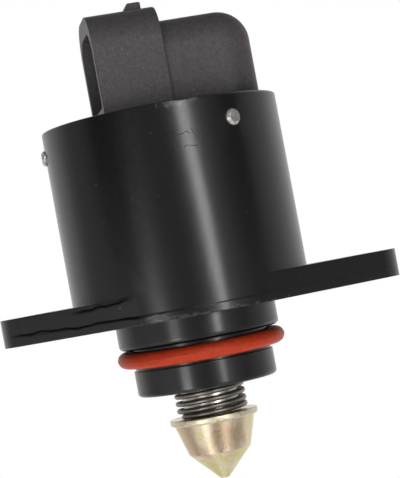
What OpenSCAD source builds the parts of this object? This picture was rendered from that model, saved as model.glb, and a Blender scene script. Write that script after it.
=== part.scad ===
// Idle air control valve, in millimetres.
// The origin is the centre of the flange's mounting face. +Z runs up the valve's axis to the connector,
// the pintle points down -Z into the air passage, the ears lie along X and the plug enters from -X.

/* [Housing cup] */
// Height of the cup's rim above the mounting face
cup_h = 30.9; // [29.5:0.1:34]
// Outer radius of the cup at its rim
cup_rim_r = 18.1; // [17.4:0.1:19]
// How much the cup's radius grows from its rim down to the mounting face, for casting draft
cup_draft = 0.06; // [0:0.02:0.4]
// Thickness of the cup's wall at its rim
cup_wall = 1.5; // [1.2:0.1:1.8]
// Thickness of the cup's floor, from the mounting face up
floor_t = 3.4; // [3:0.1:4]
// Rounding of the rim's two edges
rim_edge = 0.25; // [0.1:0.05:0.5]

/* [Flange] */
// Thickness of the flange
flange_t = 4.2; // [3.6:0.1:5]
// Radius of each ear's tip
ear_r = 5.8; // [5.2:0.1:6.4]
// Distance between the two screw holes
hole_span = 50.3; // [49:0.1:53]
// How far the middle of the two screw holes lies to the right of the axis
hole_shift = 1.65; // [0:0.05:2]
// Diameter of the screw holes
hole_d = 5.5; // [4.3:0.1:6.5]
// Height of the lip round the flange's lower edge
lip_h = 1.25; // [0.8:0.05:1.8]
// How far that lip stands out from the foot of the cup
lip_out = 0.3; // [0.1:0.05:0.6]

/* [Nose] */
// Radius of the collar that centres the valve in its hole
collar_r = 12.35; // [11.9:0.05:12.8]
// Height of the collar, from the mounting face down
collar_h = 3.75; // [3.3:0.05:4.2]
// Rounding of the collar's lower edge
collar_edge = 0.7; // [0.2:0.1:1]
// Depth of the nose below the mounting face
nose_len = 11.1; // [10.6:0.1:12]
// Radius of the land below the O-ring
nose_r = 10.73; // [10.6:0.01:11.2]
// Rounding of the nose's lower edge
nose_edge = 0.6; // [0.2:0.1:1]
// Radius of the groove's floor
groove_r = 10.42; // [10.1:0.01:10.5]
// Width of the O-ring groove
groove_w = 3.35; // [3.1:0.05:3.6]
// Radius of the spring's pocket in the nose
pocket_r = 5.9; // [5.7:0.05:6.4]
// Depth of the spring's pocket
pocket_depth = 8.1; // [7.6:0.1:8.6]

/* [Seals] */
// Thickness of the outer O-ring's cord
oring_d = 2.4; // [2.2:0.05:2.5]
// Clearance between the O-ring and the floor and upper wall of its groove
oring_fit = 0.06; // [0.02:0.01:0.12]
// How far the O-ring sags towards the front in its groove, in degrees
oring_tilt = 1.2; // [0:0.1:1.6]
// Thickness of the inner seal's cord
seal_d = 1.26; // [1:0.02:1.4]
// Clearance all round the inner seal
seal_fit = 0.02; // [0.01:0.01:0.05]

/* [Retaining pins] */
// Diameter of a retaining pin
pin_d = 2.4; // [2:0.1:2.8]
// Distance from the rim down to the pins
pin_drop = 3.7; // [3.3:0.1:4]
// Length of a retaining pin
pin_len = 4.1; // [3.4:0.1:4.4]
// How far a pin stands out of the cup
pin_out = 0.6; // [0.3:0.05:0.9]
// Chamfer on a pin's outer end
pin_chamfer = 0.35; // [0.1:0.05:0.5]
// Direction of the first pin, in degrees from +X
pin_angle = -63; // [-75:1:-50]

/* [Pintle] */
// Gap between the nose and the pintle's rim at rest
rim_drop = 4.45; // [4:0.05:5]
// Radius of the pintle's rim, which the spring stands on
rim_r = 6.73; // [6.4:0.01:7]
// Thickness of the rim
rim_t = 0.95; // [0.7:0.05:1.2]
// Radius of the seat cone at its top
cone_top_r = 6.17; // [5.6:0.01:6.3]
// Radius where the seat cone meets the tip cone
cone_mid_r = 4.74; // [4.4:0.01:5.2]
// Length of the seat cone
cone_len = 4.7; // [4.2:0.1:5.4]
// Radius of the flat on the pintle's tip
tip_r = 0.67; // [0.4:0.01:1]
// Length of the tip cone
tip_len = 4.2; // [3.6:0.1:5]
// Radius of the sleeve inside the spring
sleeve_r = 4.35; // [4.1:0.05:4.5]
// How far the pintle can draw in from rest
travel_in = 2.8; // [2:0.1:2.8]
// Space left above the sleeve when the pintle is drawn right in
sleeve_gap = 0.6; // [0.3:0.1:1]

/* [Spring] */
// Diameter of the spring's wire
wire_d = 0.8; // [0.7:0.02:0.84]
// Radius of the spring to the middle of its wire
coil_r = 5.07; // [4.95:0.01:5.2]
// Distance between turns of the open part of the spring
coil_pitch = 1.13; // [1.08:0.01:1.3]
// Direction of the wire's lower end, in degrees from +X
coil_start = 200; // [0:5:355]
// Gap between the spring's ends and what they press on
coil_seat = 0.03; // [0.01:0.01:0.06]

/* [Lead screw] */
// Outer radius of the screw
screw_r = 2.6; // [2.4:0.05:2.8]
// Distance across the screw's two flats
screw_flats = 4.2; // [3.8:0.1:4.6]
// Clearance all round the screw in the floor and in the nut
screw_fit = 0.05; // [0.03:0.01:0.08]
// How far the screw reaches into the pintle below its rim
screw_socket = 3.5; // [2.5:0.1:4]

/* [Ball bearing] */
// Radius of the bearing's bore
bearing_bore_r = 4; // [3.9:0.05:4.1]
// Outer radius of the bearing
bearing_r = 8; // [7.9:0.05:8.1]
// Width of the bearing
bearing_w = 4; // [3.6:0.1:4.4]
// Thickness of each race
race_t = 1.22; // [1.1:0.02:1.3]
// Diameter of a ball
ball_d = 2.5; // [2.3:0.05:2.5]
// Number of balls
ball_n = 9; // [6:1:10]
// Clearance between a ball, its track and its cage
ball_fit = 0.02; // [0.01:0.01:0.03]
// Thickness of metal under the bearing, above the mounting face
seat_t = 1.2; // [1:0.1:1.6]
// Depth of the relief under the bearing's inner race
seat_relief = 0.3; // [0.2:0.05:0.5]

/* [Rotor] */
// Outer radius of the ring magnet
magnet_r = 8.2; // [8:0.05:8.3]
// Wall thickness of the ring magnet
magnet_wall = 2.7; // [2.4:0.1:2.9]
// Height of the hub's shoulder between the bearing and the magnet
shoulder_h = 1; // [0.6:0.1:1.6]
// Gap between the magnet and the cap
magnet_gap = 0.8; // [0.5:0.1:1.2]
// Radius of the hub's upper journal
journal_r = 3.5; // [3.3:0.05:3.8]
// Clearance between the upper journal and its bush
journal_fit = 0.05; // [0.03:0.01:0.08]
// Length of the upper journal
journal_len = 4.3; // [3.6:0.1:5]

/* [Stators] */
// Clearance between a stator and the cup
stator_fit = 0.1; // [0.05:0.01:0.2]
// Thickness of the stators' steel sheet
sheet_t = 0.9; // [0.7:0.05:1]
// Gap between the magnet and the claws
air_gap = 0.3; // [0.25:0.05:0.4]
// Number of claws on each plate
claw_n = 6; // [4:1:6]
// Width of a claw at its root
claw_root = 5.2; // [4.6:0.1:5.4]
// Width of a claw at its tip
claw_tip = 2; // [1.4:0.1:2.2]
// Gap between a claw's tip and the opposite plate
claw_gap = 0.6; // [0.4:0.1:1]
// Wall thickness of the bobbins
bobbin_t = 0.6; // [0.5:0.05:0.8]
// Clearance round each bobbin
bobbin_fit = 0.1; // [0.05:0.01:0.15]
// How far a bobbin's flange stands out past its winding
winding_drop = 0.5; // [0.3:0.1:1]

/* [Cap] */
// How far the cap's top lies below the rim
cap_drop = 0.5; // [0.3:0.1:0.9]
// Height of the cap's drum, from the stators under it up to its top
cap_h = 8.4; // [8.2:0.1:9]
// Clearance between the cap and the cup
cap_fit = 0.1; // [0.05:0.01:0.2]
// Thickness of the cap's top plate
cap_plate = 3; // [2.4:0.1:3.6]
// Thickness of the cap's skirt
skirt_t = 2.3; // [2.1:0.1:2.6]
// Radius of the boss under the cap that holds the rear bush
boss_r = 7; // [6.6:0.1:7.4]
// Outer radius of the rear bush
bush_r = 5; // [4.7:0.1:5.3]
// Length of the rear bush
bush_len = 4; // [3.4:0.1:4.6]
// Height of the seal's groove above the cap's lower edge, to its middle
seal_rise = 1.8; // [1.4:0.1:2]
// Width of the seal's groove
seal_groove_w = 1.7; // [1.5:0.05:1.9]

/* [Connector] */
// Distance from the axis to the connector's mouth
mouth_x = 9.1; // [8.4:0.1:10]
// Distance from the axis to the back of the connector's shroud
shroud_back = 1.5; // [1.2:0.1:2]
// Width of the shroud
shroud_w = 17.5; // [17:0.1:18.5]
// Height of the shroud's top above the cap
shroud_h = 16.45; // [15.8:0.05:17]
// Radius of the shroud's upper corners
shroud_corner = 5.5; // [4.6:0.1:6]
// Thickness of the shroud's side walls
shroud_wall = 1.5; // [1.3:0.1:1.8]
// Thickness of the shroud's roof
roof_t = 2.6; // [2:0.1:3]
// Thickness of the shroud's floor above the cap
sill_t = 2.1; // [1.6:0.1:2.4]
// Thickness of the wall behind the socket
back_wall = 2; // [1.5:0.1:2.5]
// Rounding of the shroud's rear top edge
shroud_edge = 0.6; // [0.4:0.1:1.4]
// Rounding of the lower corners inside the socket
socket_edge = 1; // [0.5:0.1:1.5]

/* [Block behind the connector] */
// Width of the block
block_w = 15.5; // [15:0.1:16]
// Distance from the axis to the block's end
block_end = 15.5; // [14.5:0.1:15.8]
// Height of the block above the cap
block_h = 14.2; // [13.4:0.1:14.5]
// Rounding of the block's upper edge, along both sides and round its end
block_shoulder = 4.9; // [4:0.1:5]
// Radius of the block's two upright corners
block_corner = 5.2; // [5:0.1:6]

/* [Latch] */
// Width of the latch ramp
latch_w = 4.6; // [4:0.1:6]
// Height of the latch ramp
latch_h = 1.3; // [0.9:0.05:1.6]
// Length of the latch ramp
latch_len = 2.8; // [2.6:0.1:3]
// Length of the flat on top of the ramp
latch_flat = 2; // [1.4:0.1:2.2]
// Distance from the back of the shroud to the back of the ramp
latch_back = 1.5; // [1.1:0.1:2]
// Rounding of the ramp's two upper edges
latch_edge = 0.3; // [0.1:0.05:0.4]

/* [Terminals] */
// Number of terminals
blade_n = 4; // [4:1:4]
// Distance between terminals
blade_pitch = 3.3; // [3:0.05:3.6]
// Width of a terminal
blade_w = 1.5; // [1.2:0.1:1.8]
// Thickness of a terminal
blade_t = 0.64; // [0.5:0.02:0.8]
// Distance from the mouth to the terminals' ends
blade_inset = 2.6; // [2:0.1:3.4]
// Distance from the axis to the terminals' legs
leg_x = 9.5; // [9:0.1:10.5]
// Height of the legs' lower ends above the stators
leg_rise = 1.5; // [1:0.1:2.5]
// Bevel on the end of a terminal
blade_bevel = 0.2; // [0.1:0.02:0.22]

/* [Hidden] */
$fn = 96;
// How far a cutter reaches past what it cuts
past = 1;
// How far joined solids run into each other
join = 0.2;
// How far an ear's straight edges lie inside the two circles that they join
tuck = 0.02;

// The cup and its floor
foot_r = cup_rim_r + cup_draft;
bore_r = cup_rim_r - cup_wall;
hole_left = hole_shift - hole_span / 2;
hole_right = hole_shift + hole_span / 2;
lip_waist_r = foot_r + lip_out;

// Heights below the mounting face
z_groove = -collar_h - groove_w;
z_nose = -nose_len;
z_pocket = z_nose + pocket_depth;
z_rim = z_nose - rim_drop;
z_cone = z_rim - rim_t;
z_mid = z_cone - cone_len;
z_tip = z_mid - tip_len;
z_sleeve = z_pocket - travel_in - sleeve_gap;
z_socket = z_cone - screw_socket;

// The O-ring's highest point lies just under the collar, and its middle follows from its tilt
oring_ring_r = groove_r + oring_fit + oring_d / 2;
z_oring = -collar_h - oring_fit - oring_d / 2 - oring_ring_r * sin(oring_tilt);

// Heights above the mounting face, where the two stators share what the cap leaves of the cup
z_bearing = seat_t + bearing_w;
z_magnet = z_bearing + shoulder_h;
z_cap_top = cup_h - cap_drop;
z_cap = z_cap_top - cap_h;
stator_h = (z_cap - floor_t) / 2;
z_recess = z_cap_top - cap_plate;
z_pin = cup_h - pin_drop;
z_screw_top = z_cap + magnet_gap - travel_in;
z_magnet_top = z_cap - magnet_gap;
z_journal_top = z_magnet_top + journal_len;
z_shroud_top = z_cap_top + shroud_h;
z_block_top = z_cap_top + block_h;
z_sill = z_cap_top + sill_t;
z_ceiling = z_shroud_top - roof_t;
z_blade = (z_sill + z_ceiling) / 2;

// Radii inside the cup
stator_r = bore_r - stator_fit;
claw_r = magnet_r + air_gap;
bobbin_r = claw_r + sheet_t + bobbin_fit;
flange_r = stator_r - sheet_t - bobbin_fit;
cap_r = bore_r - cap_fit;
hub_r = magnet_r - magnet_wall;
ball_ring_r = (bearing_bore_r + bearing_r) / 2;
z_balls = seat_t + bearing_w / 2;
inner_race_r = bearing_bore_r + race_t;
outer_race_r = bearing_r - race_t;
screw_bore_r = screw_r + screw_fit;

// The spring, from its lower end on the rim to its upper end in the pocket
coil_low = z_rim + wire_d / 2 + coil_seat;
coil_high = z_pocket - wire_d / 2 - coil_seat;
open_turns = (coil_high - coil_low - 2 * wire_d) / coil_pitch;
coil_turns = open_turns + 2;
rings_per_turn = 24;
wire_sides = 8;

// A ring of rectangular section
module ring(r_in, r_out, z_low, z_high) {
    translate([0, 0, z_low]) difference() {
        cylinder(r = r_out, h = z_high - z_low);
        translate([0, 0, -past]) cylinder(r = r_in, h = z_high - z_low + 2 * past);
    }
}

// The waste outside a rounded corner at [x, y] whose solid lies towards -side
module corner_waste(x, y, r, side_x, side_y) {
    translate([x - side_x * r, y - side_y * r]) difference() {
        translate([side_x > 0 ? 0 : -r - past, side_y > 0 ? 0 : -r - past]) square(r + past);
        circle(r);
    }
}

// Both ears, each with its round tip and with straight edges that run off a circle of radius r_waist
module ears(r_waist) {
    for (tip_x = [hole_left, hole_right]) {
        lean = acos((r_waist - ear_r) / abs(tip_x));
        out_x = sign(tip_x) * cos(lean);
        out_y = sin(lean);
        r_from = r_waist - tuck;
        r_to = ear_r - tuck;
        polygon([
            [r_from * out_x, r_from * out_y], [tip_x + r_to * out_x, r_to * out_y],
            [tip_x + r_to * out_x, -r_to * out_y], [r_from * out_x, -r_from * out_y]
        ]);
        translate([tip_x, 0]) circle(ear_r);
    }
}

// The flange: two ears that run smoothly off the foot of the cup, over a lip all round
module flange() {
    linear_extrude(height = flange_t) ears(foot_r);
    linear_extrude(height = lip_h) {
        circle(lip_waist_r);
        ears(lip_waist_r);
    }
}

// The screw's section, with a flat on each side so that it can slide but not turn
module screw_outline(clear) {
    intersection() {
        circle(screw_r + clear);
        square([2 * (screw_r + clear), screw_flats + 2 * clear], center = true);
    }
}

// Half of the nose's section, outside only
module nose_section() {
    difference() {
        union() {
            translate([0, -collar_h]) square([collar_r, collar_h + join]);
            translate([0, z_groove - join]) square([groove_r, groove_w + 2 * join]);
            translate([0, z_nose]) square([nose_r, nose_len + z_groove]);
        }
        corner_waste(collar_r, -collar_h, collar_edge, 1, -1);
        corner_waste(nose_r, z_nose, nose_edge, 1, -1);
    }
}

// Half of the cup's section, outside only, with its draft and its rounded rim
module cup_section() {
    difference() {
        polygon([[0, 0], [foot_r, 0], [cup_rim_r, cup_h], [0, cup_h]]);
        corner_waste(cup_rim_r, cup_h, rim_edge, 1, 1);
    }
}

module housing() color([0.08, 0.08, 0.085]) {
    difference() {
        union() {
            rotate_extrude() cup_section();
            rotate_extrude() nose_section();
            flange();
        }
        translate([0, 0, floor_t]) cylinder(r = bore_r, h = cup_h - floor_t + past);
        translate([0, 0, seat_t]) cylinder(r = bearing_r, h = floor_t);
        translate([0, 0, seat_t - seat_relief]) cylinder(r = outer_race_r, h = floor_t);
        translate([0, 0, z_nose - past]) cylinder(r = pocket_r, h = pocket_depth + past);
        translate([0, 0, z_pocket - past]) linear_extrude(height = seat_t - z_pocket + past)
            screw_outline(2 * screw_fit);
        for (x = [hole_left, hole_right])
            translate([x, 0, -past]) cylinder(d = hole_d, h = flange_t + 2 * past);
        for (k = [0:2]) pin_hole(k);
    }
}

// Places its children with +Z pointing out along a pin, with z = 0 on the cup's surface
module at_pin(k) {
    rotate([0, 0, pin_angle + 120 * k]) translate([cup_rim_r, 0, z_pin]) rotate([0, 90, 0]) children();
}

module pin_hole(k) {
    at_pin(k) translate([0, 0, pin_out - pin_len]) cylinder(d = pin_d, h = pin_len + past);
}

module retaining_pin(k) color([0.72, 0.71, 0.69]) {
    at_pin(k) {
        translate([0, 0, pin_out - pin_len]) cylinder(d = pin_d, h = pin_len - pin_chamfer);
        translate([0, 0, pin_out - pin_chamfer])
            cylinder(d1 = pin_d, d2 = pin_d - 2 * pin_chamfer, h = pin_chamfer);
    }
}

module o_ring() color([0.72, 0.2, 0.12]) {
    translate([0, 0, z_oring]) rotate([oring_tilt, 0, 0]) rotate_extrude()
        translate([oring_ring_r, 0]) circle(d = oring_d);
}

module cap_seal() color([0.1, 0.1, 0.1]) {
    translate([0, 0, z_cap + seal_rise]) rotate_extrude()
        translate([bore_r - seal_fit - seal_d / 2, 0]) circle(d = seal_d);
}

module pintle() color([0.86, 0.8, 0.62]) {
    difference() {
        rotate_extrude() polygon([
            [0, z_tip], [tip_r, z_tip], [cone_mid_r, z_mid], [cone_top_r, z_cone], [rim_r, z_cone],
            [rim_r, z_rim], [sleeve_r, z_rim], [sleeve_r, z_sleeve], [0, z_sleeve]
        ]);
        translate([0, 0, z_socket]) cylinder(r = screw_r, h = z_sleeve - z_socket + past);
    }
}

module lead_screw() color([0.75, 0.72, 0.62]) {
    translate([0, 0, z_socket]) linear_extrude(height = z_screw_top - z_socket) screw_outline(0);
}

// Height of the wire's middle after t turns: close wound for one turn at each end
function coil_z(t) =
    t < 1 ? coil_low + wire_d * t :
    t > coil_turns - 1 ? coil_high - wire_d * (coil_turns - t) :
    coil_low + wire_d + coil_pitch * (t - 1);

function coil_point(t, b) =
    let (a = coil_start + 360 * t, r = coil_r + wire_d / 2 * cos(b))
    [r * cos(a), r * sin(a), coil_z(t) + wire_d / 2 * sin(b)];

module pintle_spring() color([0.16, 0.14, 0.13]) {
    rings = ceil(coil_turns * rings_per_turn);
    polyhedron(
        points = [for (i = [0:rings], j = [0:wire_sides - 1])
            coil_point(coil_turns * i / rings, 360 * (j + 0.5) / wire_sides)],
        faces = concat(
            [[for (j = [0:wire_sides - 1]) j]],
            [for (i = [0:rings - 1], j = [0:wire_sides - 1])
                let (n = (j + 1) % wire_sides, low = i * wire_sides, high = low + wire_sides)
                [low + j, high + j, low + n]],
            [for (i = [0:rings - 1], j = [0:wire_sides - 1])
                let (n = (j + 1) % wire_sides, low = i * wire_sides, high = low + wire_sides)
                [high + j, high + n, low + n]],
            [[for (j = [wire_sides - 1:-1:0]) rings * wire_sides + j]]
        )
    );
}

// The groove that the balls run in
module ball_track() {
    translate([0, 0, z_balls]) rotate_extrude()
        translate([ball_ring_r, 0]) circle(ball_d / 2 + ball_fit);
}

module bearing_outer_race() color([0.7, 0.7, 0.72]) {
    difference() {
        ring(outer_race_r, bearing_r, seat_t, z_bearing);
        ball_track();
    }
}

module bearing_inner_race() color([0.7, 0.7, 0.72]) {
    difference() {
        ring(bearing_bore_r, inner_race_r, seat_t, z_bearing);
        ball_track();
    }
}

module each_ball() {
    for (k = [0:ball_n - 1])
        rotate([0, 0, 360 * k / ball_n]) translate([ball_ring_r, 0, z_balls]) children();
}

module bearing_balls() color([0.8, 0.8, 0.82]) each_ball() sphere(d = ball_d);

// A crown cage: a ring beside the balls with a pocket for each
module bearing_cage() color([0.55, 0.38, 0.2]) {
    cage_gap = (outer_race_r - inner_race_r) / 4;
    difference() {
        ring(inner_race_r + cage_gap, outer_race_r - cage_gap,
             z_balls - ball_d / 4, z_bearing - cage_gap / 2);
        each_ball() sphere(ball_d / 2 + ball_fit);
    }
}

// The moulded hub: journal, shoulder, magnet seat and upper journal, with the nut's bore through it
module rotor_hub() color([0.85, 0.84, 0.78]) {
    difference() {
        rotate_extrude() polygon([
            [0, seat_t], [bearing_bore_r, seat_t], [bearing_bore_r, z_bearing],
            [hub_r - shoulder_h / 2, z_bearing], [hub_r - shoulder_h / 2, z_magnet], [hub_r, z_magnet],
            [hub_r, z_magnet_top], [journal_r, z_magnet_top], [journal_r, z_journal_top], [0, z_journal_top]
        ]);
        translate([0, 0, seat_t - past]) cylinder(r = screw_bore_r, h = z_journal_top - seat_t + 2 * past);
    }
}

module rotor_magnet() color([0.25, 0.25, 0.27]) ring(hub_r, magnet_r, z_magnet, z_magnet_top);

module rear_bush() color([0.72, 0.55, 0.3])
    ring(journal_r + journal_fit, bush_r, z_cap + sheet_t / 2, z_cap + sheet_t / 2 + bush_len);

// One tapered claw, standing up from its plate at the claws' radius and pointing along +X
module claw(length) {
    intersection() {
        rotate([0, 0, 180]) ring(claw_r, claw_r + sheet_t, sheet_t / 4, length);
        rotate([90, 0, 90]) linear_extrude(height = claw_r + 2 * sheet_t) polygon([
            [-claw_root / 2, 0], [claw_root / 2, 0], [claw_tip / 2, length], [-claw_tip / 2, length]
        ]);
    }
}

module claws(turn) {
    for (k = [0:claw_n - 1])
        rotate([0, 0, turn + 360 * k / claw_n]) claw(stator_h - sheet_t - claw_gap);
}

// Places its children as the lower stator or, upside down and turned half a step, as the upper one
module at_stator(upper) {
    if (upper) translate([0, 0, z_cap]) rotate([0, 0, 90 / claw_n]) mirror([0, 0, 1]) children();
    else translate([0, 0, floor_t]) children();
}

module stator_cup(upper) color([0.62, 0.63, 0.65]) at_stator(upper) {
    ring(claw_r + sheet_t / 2, stator_r, 0, sheet_t);
    ring(stator_r - sheet_t, stator_r, 0, stator_h);
    claws(0);
}

module pole_plate(upper) color([0.62, 0.63, 0.65]) at_stator(upper)
    translate([0, 0, stator_h]) mirror([0, 0, 1]) {
        ring(claw_r + sheet_t / 2, stator_r - sheet_t, 0, sheet_t);
        claws(180 / claw_n);
    }

module bobbin(upper) color([0.88, 0.86, 0.78]) at_stator(upper) {
    ring(bobbin_r, bobbin_r + bobbin_t, sheet_t, stator_h - sheet_t);
    ring(bobbin_r, flange_r, sheet_t, sheet_t + bobbin_t);
    ring(bobbin_r, flange_r, stator_h - sheet_t - bobbin_t, stator_h - sheet_t);
}

module coil(upper) color([0.65, 0.3, 0.12]) at_stator(upper)
    ring(bobbin_r + bobbin_t, flange_r - winding_drop, sheet_t + bobbin_t, stator_h - sheet_t - bobbin_t);

// The section of the shroud, drawn with x across the valve and y up it
module shroud_outline() {
    difference() {
        translate([-shroud_w / 2, z_cap_top - join]) square([shroud_w, shroud_h + join]);
        corner_waste(shroud_w / 2, z_shroud_top, shroud_corner, 1, 1);
        corner_waste(-shroud_w / 2, z_shroud_top, shroud_corner, -1, 1);
    }
}

module socket_outline() {
    half = shroud_w / 2 - shroud_wall;
    difference() {
        translate([-half, z_sill]) square([2 * half, z_ceiling - z_sill]);
        corner_waste(half, z_ceiling, shroud_corner - shroud_wall, 1, 1);
        corner_waste(-half, z_ceiling, shroud_corner - shroud_wall, -1, 1);
        corner_waste(half, z_sill, socket_edge, 1, -1);
        corner_waste(-half, z_sill, socket_edge, -1, -1);
    }
}

// Extrudes an outline drawn across the valve along X, from x_low to x_high
module along_x(x_low, x_high) {
    translate([x_low, 0, 0]) rotate([90, 0, 90]) linear_extrude(height = x_high - x_low) children();
}

module shroud() {
    difference() {
        along_x(-mouth_x, shroud_back) shroud_outline();
        rotate([90, 0, 0]) linear_extrude(height = shroud_w + 2 * past, center = true)
            corner_waste(shroud_back, z_shroud_top, shroud_edge, 1, 1);
    }
}

// The block's section out to a distance, with its upper edge rounded there
module block_section(reach) {
    difference() {
        translate([0, z_cap_top - join]) square([reach, block_h + join]);
        corner_waste(reach, z_block_top, block_shoulder, 1, 1);
    }
}

// The block is a straight bar, with an end whose two upright corners are turned from the same section
module block() {
    corner_x = block_end - block_corner;
    corner_y = block_w / 2 - block_corner;
    for (side = [0, 1]) mirror([0, side, 0]) {
        along_x(-join, corner_x) block_section(block_w / 2);
        translate([corner_x, corner_y, 0]) rotate_extrude(angle = 90) block_section(block_corner);
    }
    translate([corner_x, 0, 0]) rotate([90, 0, 0])
        linear_extrude(height = 2 * corner_y, center = true) block_section(block_corner);
}

module latch() {
    back = shroud_back - latch_back;
    rotate([90, 0, 0]) linear_extrude(height = latch_w, center = true) difference() {
        polygon([
            [back - latch_len, z_shroud_top - join], [back - latch_len, z_shroud_top],
            [back - latch_flat, z_shroud_top + latch_h], [back, z_shroud_top + latch_h],
            [back, z_shroud_top - join]
        ]);
        corner_waste(back, z_shroud_top + latch_h, latch_edge, 1, 1);
    }
}

// The drum that closes the cup: a top plate, a skirt with the seal's groove and a boss for the bush
module cap_drum() {
    difference() {
        translate([0, 0, z_cap]) cylinder(r = cap_r, h = z_cap_top - z_cap);
        ring(boss_r, cap_r - skirt_t, z_cap - past, z_recess);
        translate([0, 0, z_cap + seal_rise]) ring(bore_r - seal_d - 2 * seal_fit, cap_r + past,
             -seal_groove_w / 2, seal_groove_w / 2);
        translate([0, 0, z_cap - past]) cylinder(r = bush_r, h = sheet_t / 2 + bush_len + past);
        translate([0, 0, z_cap]) cylinder(r = journal_r + journal_fit, h = z_recess - z_cap);
        for (k = [0:2]) pin_hole(k);
    }
}

module connector_cap() color([0.28, 0.27, 0.27]) {
    difference() {
        union() {
            cap_drum();
            shroud();
            block();
            latch();
        }
        along_x(-mouth_x - past, shroud_back - back_wall) socket_outline();
        for (k = [0:blade_n - 1]) terminal_solid(k);
    }
}

// One terminal: a blade along X with a bevelled end, and a leg down to the coils
module terminal_solid(k) {
    tip = blade_inset - mouth_x;
    y = blade_pitch * (k - (blade_n - 1) / 2);
    translate([0, y, 0]) rotate([90, 0, 0]) linear_extrude(height = blade_w, center = true) polygon([
        [tip, z_blade - blade_t / 2 + blade_bevel], [tip, z_blade + blade_t / 2 - blade_bevel],
        [tip + 2 * blade_bevel, z_blade + blade_t / 2], [leg_x + blade_t, z_blade + blade_t / 2],
        [leg_x + blade_t, z_cap + leg_rise], [leg_x, z_cap + leg_rise], [leg_x, z_blade - blade_t / 2],
        [tip + 2 * blade_bevel, z_blade - blade_t / 2]
    ]);
}

module terminal(k) color([0.8, 0.78, 0.7]) terminal_solid(k);

housing();
connector_cap();
cap_seal();
retaining_pin(0);  // retaining_pin_1
retaining_pin(1);  // retaining_pin_2
retaining_pin(2);  // retaining_pin_3
o_ring();
pintle();
pintle_spring();
lead_screw();
bearing_outer_race();
bearing_inner_race();
bearing_balls();
bearing_cage();
rotor_hub();
rotor_magnet();
rear_bush();
stator_cup(false);  // stator_cup_lower
stator_cup(true);  // stator_cup_upper
pole_plate(false);  // pole_plate_lower
pole_plate(true);  // pole_plate_upper
bobbin(false);  // bobbin_lower
bobbin(true);  // bobbin_upper
coil(false);  // coil_lower
coil(true);  // coil_upper
terminal(0);  // terminal_1
terminal(1);  // terminal_2
terminal(2);  // terminal_3
terminal(3);  // terminal_4
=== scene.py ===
# %% [markdown]
# An idle air control valve, dressed for a product photograph. Its solids come from the packed
# model, in metres, with the origin at the middle of the flange's mounting face and +Z up the
# valve's axis. They could be modelled again in Blender, but would then drift away from the model's
# sizes. So this script only gives them finishes, swaps three round pieces for finer
# meshes, and sets the light and the camera.

# %% Load the valve
import math
from functools import reduce

import bmesh
import bpy
from mathutils import Matrix, Vector


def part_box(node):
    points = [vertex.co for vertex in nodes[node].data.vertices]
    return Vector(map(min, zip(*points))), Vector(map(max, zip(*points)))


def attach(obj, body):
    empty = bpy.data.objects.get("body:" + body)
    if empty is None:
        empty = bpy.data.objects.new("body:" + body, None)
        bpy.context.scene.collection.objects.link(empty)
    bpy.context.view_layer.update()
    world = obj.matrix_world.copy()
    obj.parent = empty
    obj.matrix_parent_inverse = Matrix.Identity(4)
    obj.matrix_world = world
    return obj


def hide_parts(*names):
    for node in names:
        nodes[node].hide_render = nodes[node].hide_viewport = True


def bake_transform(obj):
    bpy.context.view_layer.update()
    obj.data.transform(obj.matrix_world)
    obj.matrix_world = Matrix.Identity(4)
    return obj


MM = 0.001
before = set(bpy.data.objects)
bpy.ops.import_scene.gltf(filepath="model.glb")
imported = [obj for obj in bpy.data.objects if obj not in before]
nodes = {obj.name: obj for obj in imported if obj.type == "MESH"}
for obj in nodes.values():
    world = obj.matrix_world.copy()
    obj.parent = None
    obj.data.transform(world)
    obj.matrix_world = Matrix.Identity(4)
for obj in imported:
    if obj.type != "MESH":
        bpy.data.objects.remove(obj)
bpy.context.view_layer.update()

# %% [markdown]
# The cells below need a few sizes of the real pieces: the height of the cup's rim and of the
# pintle's tip, and the boxes of the spring and the O-ring. They could be typed in, but measured on
# the solids they follow the model whenever it changes.

# %% Measure the pieces
housing_low, housing_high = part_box("housing")
pintle_low, pintle_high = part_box("pintle")
spring_low, spring_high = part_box("pintle_spring")
ring_low, ring_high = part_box("o_ring")
RIM_Z = housing_high.z
TIP_Z = pintle_low.z
levels = (RIM_Z, housing_low.z, TIP_Z)
print("rim, nose and tip in mm:", [round(level / MM, 2) for level in levels])

# %% [markdown]
# Each finish on the valve is a small network of shader nodes. It could be wired by hand in the
# shader editor, but a script can repeat it, and these helpers keep each step to one line. Effects
# that several finishes share become node groups: built once, with named inputs and outputs, and
# placed in each material with values of its own. All patterns are drawn in object coordinates,
# which stay with a piece when it moves.

# %% Helpers to build shaders
NOISE_SPAN = (0.3, 0.7)  # nearly all of a noise lies between these


def new_group(name, inputs, outputs):
    """Makes an empty group with inputs {name: default number} and outputs {name: socket type}."""
    group = bpy.data.node_groups.new(name, "ShaderNodeTree")
    for label, default in inputs.items():
        socket = group.interface.new_socket(label, in_out="INPUT", socket_type="NodeSocketFloat")
        socket.default_value = default
    for label, kind in outputs.items():
        group.interface.new_socket(label, in_out="OUTPUT", socket_type=kind)
    enter = group.nodes.new("NodeGroupInput")
    leave = group.nodes.new("NodeGroupOutput")
    return group, enter, leave


def set_inputs(node, values):
    """Sets a node's inputs from {name: value}; an underscore in a name stands for a space."""
    for key, value in values.items():
        node.inputs[key.replace("_", " ")].default_value = value


def add_node(tree, kind, **values):
    node = tree.nodes.new(kind)
    set_inputs(node, values)
    return node


def place_group(tree, group, **values):
    node = add_node(tree, "ShaderNodeGroup")
    node.node_tree = group
    set_inputs(node, values)
    return node


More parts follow.
